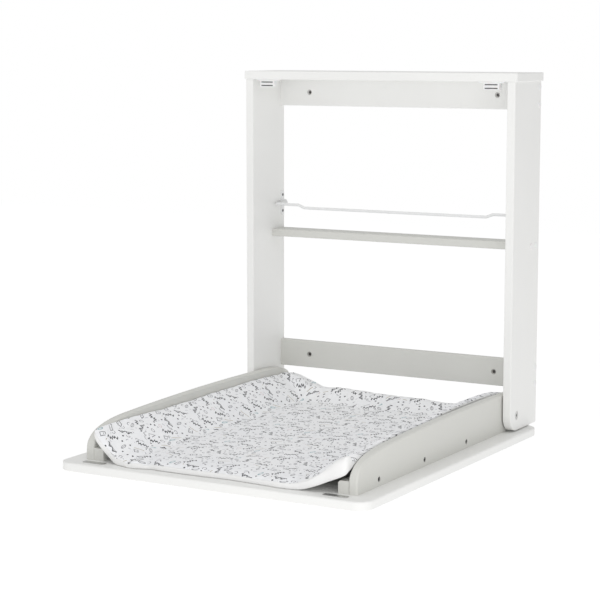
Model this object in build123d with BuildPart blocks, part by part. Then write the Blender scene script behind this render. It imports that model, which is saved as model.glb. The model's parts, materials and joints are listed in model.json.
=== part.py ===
from build123d import *
import os

# Wall-mounted changing table: a shallow frame, and a changing board that folds up against it.
# X runs across the frame, +Y points into the wall and +Z up, in mm. The origin is the middle of
# the four wall-fixing holes, on the wall plane. The board is modelled open and level.

# ---- driving dimensions ----------------------------------------------------------------------

FRAME_WIDTH = 640.0  # over the outer faces of the side panels
FRAME_DEPTH = 135.0  # of the side panels, from the wall to their front edges
PANEL_HEIGHT = 723.0
PANEL_THICKNESS = 18.0  # side panels, top panel, board and side rails
TOP_SIDE_OVERHANG = 4.0
TOP_FRONT_OVERHANG = 1.0

BACK_RAIL_HEIGHT = 60.0
BACK_RAIL_THICKNESS = 16.0
FIXING_SPACING_X = 455.0
FIXING_SPACING_Z = 590.0
FIXING_HOLE_RADIUS = 3.25
FIXING_COUNTERSINK_RADIUS = 6.0

SHELF_THICKNESS = 16.0
SHELF_DEPTH = 54.0
SHELF_RISE = 372.0  # from the bottom of the side panels to the underside of the shelf

PIVOT_INSET = 32.0  # from a side panel's front edge, and from its bottom edge
STOP_GAP = 2.0  # between the side panels and the open board
BOARD_WIDTH = 678.0
BOARD_FRONT_Y = -808.0
BOARD_REAR_Y = -28.0
BOARD_CORNER_RADIUS = 28.0

SIDE_RAIL_GAP = 2.5  # between a side panel's inner face and the side rail
SIDE_RAIL_FRONT_Y = -766.0
SIDE_RAIL_REAR_Y = -8.0
CLEAT_WIDTH = 22.0
CLEAT_HEIGHT = 24.0
CLEAT_REAR_Y = -40.0

WIRE_RADIUS = 3.0
WIRE_Y = -50.0
WIRE_RISE = 438.0  # from the bottom of the side panels to the long middle stretch
WIRE_JOGGLE = 6.0  # how far the end stretches stand above the middle one
BRACKET_THICKNESS = 2.0
BRACKET_HEIGHT = 56.0
BRACKET_Y = (-16.0, -4.0)
BRACKET_EAR_REACH = 17.0
BRACKET_EAR_RADIUS = 7.5
BRACKET_SCREW_OFFSET = 18.0

CATCH_X = 266.0
CATCH_SETBACK = 0.5  # from the side panels' front edges to the front of a catch
CATCH_DEPTH = 15.0
CATCH_BODY_WIDTH = 36.0
CATCH_BODY_HEIGHT = 14.0
CATCH_FLANGE_WIDTH = 57.0
CATCH_FLANGE_THICKNESS = 2.5
CATCH_SCREW_OFFSET = 23.0
CATCH_FRONT_WALL = 1.6  # of the housing, before the magnet
POLE_WIDTH = 28.0
POLE_THICKNESS = 2.0
POLE_SPACING = 7.4
POLE_DEPTH = 12.0
POLE_PROUD = 0.6
STRIKE_LENGTH = 50.0
STRIKE_WIDTH = 13.0
STRIKE_THICKNESS = 1.2
STRIKE_SCREW_OFFSET = 18.0

MAT_FRONT_Y = -784.0
MAT_REAR_Y = -30.0
MAT_THICKNESS = 14.0
MAT_FLAT_HALF_WIDTH = 205.0
MAT_SIDE_GAP = 0.7  # between the mat's raised sides and the side rails
MAT_SIDE_HEIGHT = 68.0
MAT_BACK_HEIGHT = 42.0
MAT_BACK_FOOT_Y = -112.0  # where the mat starts to rise towards the wall
MAT_FRONT_NOTCH = 9.0  # the raised sides stop this far back, to pass the catches

EDGE_RADIUS = 2.0  # eased edges of the lacquered panels
RAIL_EDGE_RADIUS = 3.5

# ---- fasteners and pivots --------------------------------------------------------------------

DOWEL_RADIUS = 4.0
DOWEL_LENGTH = 30.0
SIDE_DOWEL_DEPTH = 10.0  # in a side panel; the rest of the dowel is in a rail or in the shelf
TOP_DOWEL_DEPTH = 12.0  # in the top panel; the rest of the dowel is in a side panel
TOP_DOWEL_Y = (-30.0, -105.0)
SCREW_RADIUS = 2.4
SCREW_HEAD_RADIUS = 4.8
SCREW_HEAD_HEIGHT = 3.0
SCREW_SOCKET_RADIUS = 2.2
SCREW_REACH = 32.0  # into the second piece, or below the head in the board's screws
COUNTERBORE_RADIUS = 5.0
COUNTERBORE_DEPTH = 4.5
CAP_RADIUS = 6.5
CAP_THICKNESS = 0.9
CAP_PLUG_DEPTH = 1.2
SMALL_SCREW_RADIUS = 1.5
SMALL_HEAD_RADIUS = 3.2
STRIKE_HEAD_RADIUS = 2.6

BOLT_RADIUS = 4.0
BOLT_HEAD_RADIUS = 8.5
BOLT_HEAD_HEIGHT = 2.5
BOLT_HEAD_RECESS = 0.4
BOLT_SOCKET_RADIUS = 3.4
BUSH_RADIUS = 6.0
BUSH_BORE_RADIUS = BOLT_RADIUS + 0.05
SPACER_RADIUS = 11.0
SPACER_THICKNESS = 2.0
CAP_NUT_RADIUS = 6.8
CAP_NUT_LENGTH = 8.0
CAP_NUT_WALL = 2.0
CAP_NUT_GAP = 0.3
STOP_PAD_THICKNESS = STOP_GAP - 0.3
STOP_PAD_LENGTH = 36.0
STOP_PAD_WIDTH = 11.0
STOP_PAD_Y = -56.0

# ---- positions worked out from them ----------------------------------------------------------

OUTER_X = FRAME_WIDTH / 2
INNER_X = OUTER_X - PANEL_THICKNESS
PANEL_MIDDLE_X = (OUTER_X + INNER_X) / 2
UPPER_RAIL_Z = FIXING_SPACING_Z / 2
LOWER_RAIL_Z = -FIXING_SPACING_Z / 2
PANEL_TOP = UPPER_RAIL_Z + BACK_RAIL_HEIGHT / 2
PANEL_BOTTOM = PANEL_TOP - PANEL_HEIGHT
BACK_RAIL_Y = -BACK_RAIL_THICKNESS / 2
SHELF_BOTTOM = PANEL_BOTTOM + SHELF_RISE
SHELF_Z = SHELF_BOTTOM + SHELF_THICKNESS / 2

PIVOT = (-FRAME_DEPTH + PIVOT_INSET, PANEL_BOTTOM + PIVOT_INSET)  # on Y and Z
BOARD_TOP = PANEL_BOTTOM - STOP_GAP
BOARD_BOTTOM = BOARD_TOP - PANEL_THICKNESS
RAIL_OUTER_X = INNER_X - SIDE_RAIL_GAP
RAIL_INNER_X = RAIL_OUTER_X - PANEL_THICKNESS
CLEAT_X = RAIL_INNER_X - CLEAT_WIDTH / 2

WIRE_MIDDLE_Z = PANEL_BOTTOM + WIRE_RISE
WIRE_END_Z = WIRE_MIDDLE_Z + WIRE_JOGGLE
WIRE_END_X = INNER_X - BRACKET_THICKNESS - WIRE_RADIUS - 1.0
CATCH_FRONT_Y = -FRAME_DEPTH + CATCH_SETBACK
CATCH_SCREW_Y = CATCH_FRONT_Y + CATCH_DEPTH / 2
CATCH_FLANGE_BOTTOM = PANEL_TOP - CATCH_FLANGE_THICKNESS
CATCH_Z = CATCH_FLANGE_BOTTOM - CATCH_BODY_HEIGHT / 2
STRIKE_Y = PIVOT[0] - (CATCH_Z - PIVOT[1])  # folds up to the level of the catches
MAT_SIDE_X = RAIL_INNER_X - MAT_SIDE_GAP

SIDES = (("left", -1), ("right", 1))
BACK_RAILS = (("upper_back_rail", UPPER_RAIL_Z), ("lower_back_rail", LOWER_RAIL_Z))
RAIL_SCREW_OFFSET = 18.0
BACK_RAIL_SCREWS = [
    (BACK_RAIL_Y, rail_z + offset)
    for name, rail_z in BACK_RAILS
    for offset in (-RAIL_SCREW_OFFSET, RAIL_SCREW_OFFSET)
]
SHELF_SCREWS = [(-14.0, SHELF_Z), (-40.0, SHELF_Z)]
FRAME_SCREWS = BACK_RAIL_SCREWS + SHELF_SCREWS  # on Y and Z, in each side panel
SIDE_DOWELS = [(BACK_RAIL_Y, UPPER_RAIL_Z), (BACK_RAIL_Y, LOWER_RAIL_Z), (-27.0, SHELF_Z)]
SIDE_RAIL_SCREWS = [(y, BOARD_TOP + 13.5) for y in (-681.0, -493.0, -305.0)]
CLEAT_SCREW_Y = (-735.0, -587.0, -399.0, -211.0)

os.makedirs("parts", exist_ok=True)


# ---- helpers ---------------------------------------------------------------------------------


def save(builder, label):
    """Label a finished piece and write its STEP file."""
    builder.part.label = label
    export_step(builder.part, f"parts/{label}.step")


def facing(direction, points):
    """Planes at the points, facing a direction: a hole or a screw goes in against it."""
    return [Plane(origin=point, z_dir=direction) for point in points]


def on_side(sign, near, far):
    """A range on X given for the right side, or its mirror image on the left one."""
    return tuple(sorted((sign * near, sign * far)))


def rod(axis, span, across, radius, mode=Mode.ADD):
    """A round bar over a span of one axis, centred on the two other coordinates."""
    middle = sum(span) / 2
    places = {
        "X": Location((middle, *across), (0, 90, 0)),
        "Y": Location((across[0], middle, across[1]), (90, 0, 0)),
        "Z": Location((*across, middle)),
    }
    with Locations(places[axis]):
        Cylinder(radius, span[1] - span[0], mode=mode)


def block(*spans, mode=Mode.ADD):
    """A rectangular block between its limits on X, Y and Z."""
    with Locations(tuple(sum(span) / 2 for span in spans)):
        Box(*(high - low for low, high in spans), mode=mode)


def eased(builder, radius, chosen):
    """Round the chosen edges of the piece being built."""
    fillet([edge for edge in builder.edges() if chosen(edge.center())], radius)


def screw_holes(direction, points, head_radius=SMALL_HEAD_RADIUS):
    """Countersunk holes for the small screws, through the piece."""
    with Locations(*facing(direction, points)):
        CounterSinkHole(SMALL_SCREW_RADIUS, head_radius, counter_sink_angle=90)


def counterbored_holes(direction, points):
    """Counterbored holes for the socket screws, through the piece."""
    with Locations(*facing(direction, points)):
        CounterBoreHole(SCREW_RADIUS, COUNTERBORE_RADIUS, COUNTERBORE_DEPTH)


def socket_screw(shank_length):
    """A cylinder-head screw with a hexagon socket. The top of its head is at the origin."""
    with BuildPart() as screw:
        rod("Z", (-SCREW_HEAD_HEIGHT, 0), (0, 0), SCREW_HEAD_RADIUS)
        rod("Z", (-SCREW_HEAD_HEIGHT - shank_length, -SCREW_HEAD_HEIGHT), (0, 0), SCREW_RADIUS)
        chamfer(screw.edges().group_by(Axis.Z)[0], 0.4 * SCREW_RADIUS)
        with BuildSketch(Plane.XY):
            RegularPolygon(SCREW_SOCKET_RADIUS, 6)
        extrude(amount=-0.7 * SCREW_HEAD_HEIGHT, mode=Mode.SUBTRACT)
    return screw.part


def countersunk_screw(length, head_radius=SMALL_HEAD_RADIUS):
    """A small countersunk screw with a cross recess. The top of its head is at the origin."""
    head_height = head_radius - SMALL_SCREW_RADIUS
    with BuildPart() as screw:
        with BuildSketch(Plane.XZ):
            with BuildLine():
                Polyline(
                    (0, 0),
                    (head_radius, 0),
                    (SMALL_SCREW_RADIUS, -head_height),
                    (SMALL_SCREW_RADIUS, -length + SMALL_SCREW_RADIUS),
                    (0, -length),
                    close=True,
                )
            make_face()
        revolve(axis=Axis.Z)
        for angle in (0, 90):
            with BuildSketch(Plane.XY):
                Rectangle(1.2 * head_radius, 0.25 * head_radius, rotation=angle)
            extrude(amount=-0.6 * head_height, mode=Mode.SUBTRACT)
    return screw.part


def screws_at(screw, direction, points):
    """Copies of a screw at the points, inside the piece being built."""
    with Locations(*facing(direction, points)):
        add(screw)


# ---- frame: panels, rails and shelf ----------------------------------------------------------

REAR_CORNER_RADIUS = 3.0
TOP_CORNER_RADIUS = 4.0
WIRE_SCREW_DEPTH = 12.0
CATCH_SCREW_DEPTH = 10.5
END_SCREW_DEPTH = SCREW_REACH + 1.0
TOP_OUTER_X = OUTER_X + TOP_SIDE_OVERHANG

bracket_screw_z = (WIRE_END_Z - BRACKET_SCREW_OFFSET, WIRE_END_Z + BRACKET_SCREW_OFFSET)
bracket_screw_y = sum(BRACKET_Y) / 2
catch_screw_x = [
    x + offset for x in (-CATCH_X, CATCH_X) for offset in (-CATCH_SCREW_OFFSET, CATCH_SCREW_OFFSET)
]

for side, sign in SIDES:
    panel_x = on_side(sign, INNER_X, OUTER_X)
    with BuildPart() as side_panel:
        with BuildSketch(Plane.YZ.offset(panel_x[0])) as outline:
            with Locations((-FRAME_DEPTH / 2, (PANEL_TOP + PANEL_BOTTOM) / 2)):
                Rectangle(FRAME_DEPTH, PANEL_HEIGHT)
            front_corner, rear_corner = outline.vertices().group_by(Axis.Y)[0].sort_by(Axis.X)
            fillet(front_corner, PIVOT_INSET)
            fillet(rear_corner, REAR_CORNER_RADIUS)
        extrude(amount=PANEL_THICKNESS)
        eased(side_panel, EDGE_RADIUS, lambda c: c.Z < PANEL_TOP - 1 and abs(abs(c.X) - PANEL_MIDDLE_X) > 1)
        with Locations(*facing((sign, 0, 0), [(sign * OUTER_X, *PIVOT)])):
            CounterBoreHole(BOLT_RADIUS, BOLT_HEAD_RADIUS + 0.3, BOLT_HEAD_HEIGHT + BOLT_HEAD_RECESS)
        counterbored_holes((sign, 0, 0), [(sign * OUTER_X, *place) for place in FRAME_SCREWS])
        for place in SIDE_DOWELS:
            rod("X", on_side(sign, INNER_X, INNER_X + SIDE_DOWEL_DEPTH), place, DOWEL_RADIUS, Mode.SUBTRACT)
        for y in TOP_DOWEL_Y:
            dowel_z = (PANEL_TOP - DOWEL_LENGTH + TOP_DOWEL_DEPTH, PANEL_TOP)
            rod("Z", dowel_z, (sign * PANEL_MIDDLE_X, y), DOWEL_RADIUS, Mode.SUBTRACT)
        for z in bracket_screw_z:
            screw_x = on_side(sign, INNER_X, INNER_X + WIRE_SCREW_DEPTH)
            rod("X", screw_x, (bracket_screw_y, z), SMALL_SCREW_RADIUS, Mode.SUBTRACT)
    save(side_panel, f"{side}_side_panel")

with BuildPart() as top_panel:
    top_y = (-FRAME_DEPTH - TOP_FRONT_OVERHANG, 0)
    block((-TOP_OUTER_X, TOP_OUTER_X), top_y, (PANEL_TOP, PANEL_TOP + PANEL_THICKNESS))
    fillet(top_panel.edges().filter_by(Axis.Z).group_by(Axis.Y)[0], TOP_CORNER_RADIUS)
    mid_z = PANEL_TOP + PANEL_THICKNESS / 2
    eased(top_panel, EDGE_RADIUS, lambda c: c.Y < -1 and abs(c.Z - mid_z) > 1)
    for x in (-PANEL_MIDDLE_X, PANEL_MIDDLE_X):
        for y in TOP_DOWEL_Y:
            rod("Z", (PANEL_TOP, PANEL_TOP + TOP_DOWEL_DEPTH), (x, y), DOWEL_RADIUS, Mode.SUBTRACT)
    for x in catch_screw_x:
        screw_z = (PANEL_TOP, PANEL_TOP + CATCH_SCREW_DEPTH)
        rod("Z", screw_z, (x, CATCH_SCREW_Y), SMALL_SCREW_RADIUS, Mode.SUBTRACT)
save(top_panel, "top_panel")


def drill_ends(screw_places, dowel_place):
    """Holes for the dowel and the screws in both ends of the piece being built."""
    for side, sign in SIDES:
        dowel_x = on_side(sign, INNER_X - DOWEL_LENGTH + SIDE_DOWEL_DEPTH, INNER_X)
        rod("X", dowel_x, dowel_place, DOWEL_RADIUS, Mode.SUBTRACT)
        for place in screw_places:
            rod("X", on_side(sign, INNER_X - END_SCREW_DEPTH, INNER_X), place, SCREW_RADIUS, Mode.SUBTRACT)


for name, rail_z in BACK_RAILS:
    with BuildPart() as back_rail:
        rail_span = (rail_z - BACK_RAIL_HEIGHT / 2, rail_z + BACK_RAIL_HEIGHT / 2)
        block((-INNER_X, INNER_X), (-BACK_RAIL_THICKNESS, 0), rail_span)
        fillet(back_rail.faces().sort_by(Axis.Y)[0].edges().filter_by(Axis.X), EDGE_RADIUS)
        drill_ends([place for place in BACK_RAIL_SCREWS if place[1] * rail_z > 0], (BACK_RAIL_Y, rail_z))
        fixing_x = (-FIXING_SPACING_X / 2, FIXING_SPACING_X / 2)
        with Locations(*facing((0, -1, 0), [(x, -BACK_RAIL_THICKNESS, rail_z) for x in fixing_x])):
            CounterSinkHole(FIXING_HOLE_RADIUS, FIXING_COUNTERSINK_RADIUS, counter_sink_angle=90)
    save(back_rail, name)

with BuildPart() as shelf:
    block((-INNER_X, INNER_X), (-SHELF_DEPTH, 0), (SHELF_BOTTOM, SHELF_BOTTOM + SHELF_THICKNESS))
    fillet(shelf.faces().sort_by(Axis.Y)[0].edges().filter_by(Axis.X), EDGE_RADIUS)
    drill_ends(SHELF_SCREWS, SIDE_DOWELS[2])
save(shelf, "shelf")

# ---- frame: fasteners ------------------------------------------------------------------------

HEAD_DEPTH = COUNTERBORE_DEPTH - SCREW_HEAD_HEIGHT  # from the surface down to a socket screw's head
frame_screw = socket_screw(PANEL_THICKNESS - COUNTERBORE_DEPTH + SCREW_REACH)

for side, sign in SIDES:
    with BuildPart() as frame_screws:
        heads = [(sign * (OUTER_X - HEAD_DEPTH), *place) for place in FRAME_SCREWS]
        screws_at(frame_screw, (sign, 0, 0), heads)
    save(frame_screws, f"{side}_frame_screws")

    with BuildPart() as screw_caps:
        for place in FRAME_SCREWS:
            rod("X", on_side(sign, OUTER_X, OUTER_X + CAP_THICKNESS), place, CAP_RADIUS)
            rod("X", on_side(sign, OUTER_X - CAP_PLUG_DEPTH, OUTER_X), place, COUNTERBORE_RADIUS)
        rims = screw_caps.edges().group_by(Axis.X)[-1 if sign > 0 else 0]
        fillet(rims, 0.6 * CAP_THICKNESS)
    save(screw_caps, f"{side}_screw_caps")

with BuildPart() as frame_dowels:
    for side, sign in SIDES:
        dowel_end = INNER_X + SIDE_DOWEL_DEPTH
        for place in SIDE_DOWELS:
            rod("X", on_side(sign, dowel_end - DOWEL_LENGTH, dowel_end), place, DOWEL_RADIUS)
        for y in TOP_DOWEL_Y:
            dowel_top = PANEL_TOP + TOP_DOWEL_DEPTH
            rod("Z", (dowel_top - DOWEL_LENGTH, dowel_top), (sign * PANEL_MIDDLE_X, y), DOWEL_RADIUS)
save(frame_dowels, "frame_dowels")

# ---- frame: guard wire and its brackets ------------------------------------------------------

EAR_Z = WIRE_END_Z + 1.0
JOGGLE_X = (221.0, 236.0)
WIRE_BEND_RADII = (9.0, 14.0, 14.0, 14.0, 14.0, 9.0)

for side, sign in SIDES:
    plate_x = on_side(sign, INNER_X - BRACKET_THICKNESS, INNER_X)
    ear_middle_x = INNER_X - BRACKET_EAR_REACH + BRACKET_EAR_RADIUS
    with BuildPart() as guard_bracket:
        # plate screwed to the side panel
        with BuildSketch(Plane.YZ.offset(plate_x[0])):
            with Locations((bracket_screw_y, WIRE_END_Z)):
                SlotOverall(BRACKET_HEIGHT, BRACKET_Y[1] - BRACKET_Y[0], rotation=90)
        extrude(amount=BRACKET_THICKNESS)
        # ear that stands out from the plate and holds the end of the wire
        with BuildSketch(Plane.XZ.offset(-BRACKET_Y[0])):
            with Locations((sign * ear_middle_x, EAR_Z)):
                Circle(BRACKET_EAR_RADIUS)
            with Locations((sign * (ear_middle_x + INNER_X) / 2, EAR_Z)):
                Rectangle(INNER_X - ear_middle_x, 2 * BRACKET_EAR_RADIUS)
        extrude(amount=-BRACKET_THICKNESS)
        ear_y = (BRACKET_Y[0], BRACKET_Y[0] + BRACKET_THICKNESS)
        rod("Y", ear_y, (sign * WIRE_END_X, WIRE_END_Z), WIRE_RADIUS, Mode.SUBTRACT)
        plate_face = sign * (INNER_X - BRACKET_THICKNESS)
        screw_holes((-sign, 0, 0), [(plate_face, bracket_screw_y, z) for z in bracket_screw_z])
    save(guard_bracket, f"{side}_guard_bracket")

with BuildPart() as guard_bracket_screws:
    bracket_screw = countersunk_screw(BRACKET_THICKNESS + WIRE_SCREW_DEPTH)
    for side, sign in SIDES:
        plate_face = sign * (INNER_X - BRACKET_THICKNESS)
        heads = [(plate_face, bracket_screw_y, z) for z in bracket_screw_z]
        screws_at(bracket_screw, (-sign, 0, 0), heads)
save(guard_bracket_screws, "guard_bracket_screws")

left_half = [
    (-WIRE_END_X, BRACKET_Y[0] + BRACKET_THICKNESS, WIRE_END_Z),
    (-WIRE_END_X, WIRE_Y, WIRE_END_Z),
    (-JOGGLE_X[1], WIRE_Y, WIRE_END_Z),
    (-JOGGLE_X[0], WIRE_Y, WIRE_MIDDLE_Z),
]
with BuildPart() as guard_wire:
    with BuildLine():
        right_half = [(-x, y, z) for x, y, z in reversed(left_half)]
        FilletPolyline(*left_half, *right_half, radius=WIRE_BEND_RADII)
    with BuildSketch(Plane(origin=left_half[0], z_dir=(0, -1, 0))):
        Circle(WIRE_RADIUS)
    sweep()
save(guard_wire, "guard_wire")

# ---- frame: magnetic catches -----------------------------------------------------------------

FLANGE_CORNER_RADIUS = 4.0
HOUSING_EDGE_RADIUS = 1.2
magnet_half = (POLE_SPACING - POLE_THICKNESS) / 2
magnet_spans = (
    (CATCH_FRONT_Y + CATCH_FRONT_WALL, CATCH_FRONT_Y + POLE_DEPTH),
    (CATCH_Z - magnet_half, CATCH_Z + magnet_half),
)
pole_middles = (CATCH_Z - POLE_SPACING / 2, CATCH_Z + POLE_SPACING / 2)
pole_z = [(middle - POLE_THICKNESS / 2, middle + POLE_THICKNESS / 2) for middle in pole_middles]

for side, sign in SIDES:
    catch_x = sign * CATCH_X
    pole_x = (catch_x - POLE_WIDTH / 2, catch_x + POLE_WIDTH / 2)
    with BuildPart() as catch_housing:
        block(
            (catch_x - CATCH_BODY_WIDTH / 2, catch_x + CATCH_BODY_WIDTH / 2),
            (CATCH_FRONT_Y, CATCH_FRONT_Y + CATCH_DEPTH),
            (CATCH_FLANGE_BOTTOM - CATCH_BODY_HEIGHT, CATCH_FLANGE_BOTTOM),
        )
        fillet(catch_housing.edges().filter_by(Axis.Z), HOUSING_EDGE_RADIUS)
        with BuildSketch(Plane.XY.offset(CATCH_FLANGE_BOTTOM)):
            with Locations((catch_x, CATCH_SCREW_Y)):
                RectangleRounded(CATCH_FLANGE_WIDTH, CATCH_DEPTH, FLANGE_CORNER_RADIUS)
        extrude(amount=CATCH_FLANGE_THICKNESS)
        for span in pole_z:
            block(pole_x, (CATCH_FRONT_Y, CATCH_FRONT_Y + POLE_DEPTH), span, mode=Mode.SUBTRACT)
        block(pole_x, *magnet_spans, mode=Mode.SUBTRACT)
        own_screws = [x for x in catch_screw_x if x * sign > 0]
        screw_holes((0, 0, -1), [(x, CATCH_SCREW_Y, CATCH_FLANGE_BOTTOM) for x in own_screws])
    save(catch_housing, f"{side}_catch_housing")

with BuildPart() as catch_magnets:
    for x in (-CATCH_X, CATCH_X):
        block((x - POLE_WIDTH / 2, x + POLE_WIDTH / 2), *magnet_spans)
save(catch_magnets, "catch_magnets")

with BuildPart() as catch_pole_plates:
    for x in (-CATCH_X, CATCH_X):
        for span in pole_z:
            pole_y = (CATCH_FRONT_Y - POLE_PROUD, CATCH_FRONT_Y + POLE_DEPTH)
            block((x - POLE_WIDTH / 2, x + POLE_WIDTH / 2), pole_y, span)
save(catch_pole_plates, "catch_pole_plates")

with BuildPart() as catch_screws:
    catch_screw = countersunk_screw(CATCH_FLANGE_THICKNESS + CATCH_SCREW_DEPTH)
    screws_at(catch_screw, (0, 0, -1), [(x, CATCH_SCREW_Y, CATCH_FLANGE_BOTTOM) for x in catch_screw_x])
save(catch_screws, "catch_screws")

# ---- pivots ----------------------------------------------------------------------------------

for side, sign in SIDES:
    head_x = (OUTER_X - BOLT_HEAD_RECESS - BOLT_HEAD_HEIGHT, OUTER_X - BOLT_HEAD_RECESS)
    nut_x = (RAIL_INNER_X - CAP_NUT_GAP - CAP_NUT_LENGTH, RAIL_INNER_X - CAP_NUT_GAP)
    bolt_end = nut_x[0] + CAP_NUT_WALL
    with BuildPart() as pivot_bolt:
        rod("X", on_side(sign, *head_x), PIVOT, BOLT_HEAD_RADIUS)
        rod("X", on_side(sign, bolt_end, head_x[0]), PIVOT, BOLT_RADIUS)
        chamfer(pivot_bolt.edges().group_by(Axis.X)[-1 if sign > 0 else 0], 0.7)
        with BuildSketch(Plane(origin=(sign * head_x[1], *PIVOT), z_dir=(sign, 0, 0))):
            RegularPolygon(BOLT_SOCKET_RADIUS, 6)
        extrude(amount=-0.8 * BOLT_HEAD_HEIGHT, mode=Mode.SUBTRACT)
    save(pivot_bolt, f"{side}_pivot_bolt")

    with BuildPart() as pivot_cap_nut:
        rod("X", on_side(sign, *nut_x), PIVOT, CAP_NUT_RADIUS)
        fillet(pivot_cap_nut.edges().group_by(Axis.X)[0 if sign > 0 else -1], 0.45 * CAP_NUT_RADIUS)
        rod("X", on_side(sign, bolt_end, nut_x[1]), PIVOT, BOLT_RADIUS, Mode.SUBTRACT)
    save(pivot_cap_nut, f"{side}_pivot_cap_nut")

    with BuildPart() as pivot_bush:
        bush_x = on_side(sign, RAIL_INNER_X, RAIL_OUTER_X)
        rod("X", bush_x, PIVOT, BUSH_RADIUS)
        rod("X", bush_x, PIVOT, BUSH_BORE_RADIUS, Mode.SUBTRACT)
    save(pivot_bush, f"{side}_pivot_bush")

with BuildPart() as pivot_spacers:
    for side, sign in SIDES:
        spacer_x = on_side(sign, INNER_X - SPACER_THICKNESS, INNER_X)
        rod("X", spacer_x, PIVOT, SPACER_RADIUS)
        rod("X", spacer_x, PIVOT, BOLT_RADIUS, Mode.SUBTRACT)
save(pivot_spacers, "pivot_spacers")

with BuildPart() as stop_pads:
    with BuildSketch(Plane.XY.offset(PANEL_BOTTOM - STOP_PAD_THICKNESS)):
        with Locations((-PANEL_MIDDLE_X, STOP_PAD_Y), (PANEL_MIDDLE_X, STOP_PAD_Y)):
            SlotOverall(STOP_PAD_LENGTH, STOP_PAD_WIDTH, rotation=90)
    extrude(amount=STOP_PAD_THICKNESS)
save(stop_pads, "stop_pads")

# ---- changing board --------------------------------------------------------------------------

BOARD_EDGE_RADIUS = 3.0
CLEAT_CORNER_RADIUS = 6.0
STRIKE_CORNER_RADIUS = 3.0
STRIKE_SCREW_LENGTH = 12.0
BOARD_SCREW_DEPTH = SCREW_REACH - (CLEAT_HEIGHT - COUNTERBORE_DEPTH)
CLEAT_SCREW_DEPTH = SCREW_REACH - (PANEL_THICKNESS - COUNTERBORE_DEPTH)
strike_screw_x = [
    x + offset for x in (-CATCH_X, CATCH_X) for offset in (-STRIKE_SCREW_OFFSET, STRIKE_SCREW_OFFSET)
]

with BuildPart() as changing_board:
    with BuildSketch(Plane.XY.offset(BOARD_BOTTOM)):
        with Locations((0, (BOARD_FRONT_Y + BOARD_REAR_Y) / 2)):
            RectangleRounded(BOARD_WIDTH, BOARD_REAR_Y - BOARD_FRONT_Y, BOARD_CORNER_RADIUS)
    extrude(amount=PANEL_THICKNESS)
    fillet(changing_board.edges() - changing_board.edges().filter_by(Axis.Z), BOARD_EDGE_RADIUS)
    for x in strike_screw_x:
        screw_z = (BOARD_TOP + STRIKE_THICKNESS - STRIKE_SCREW_LENGTH, BOARD_TOP)
        rod("Z", screw_z, (x, STRIKE_Y), SMALL_SCREW_RADIUS, Mode.SUBTRACT)
    for x in (-CLEAT_X, CLEAT_X):
        for y in CLEAT_SCREW_Y:
            rod("Z", (BOARD_TOP - BOARD_SCREW_DEPTH, BOARD_TOP), (x, y), SCREW_RADIUS, Mode.SUBTRACT)
save(changing_board, "changing_board")

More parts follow.
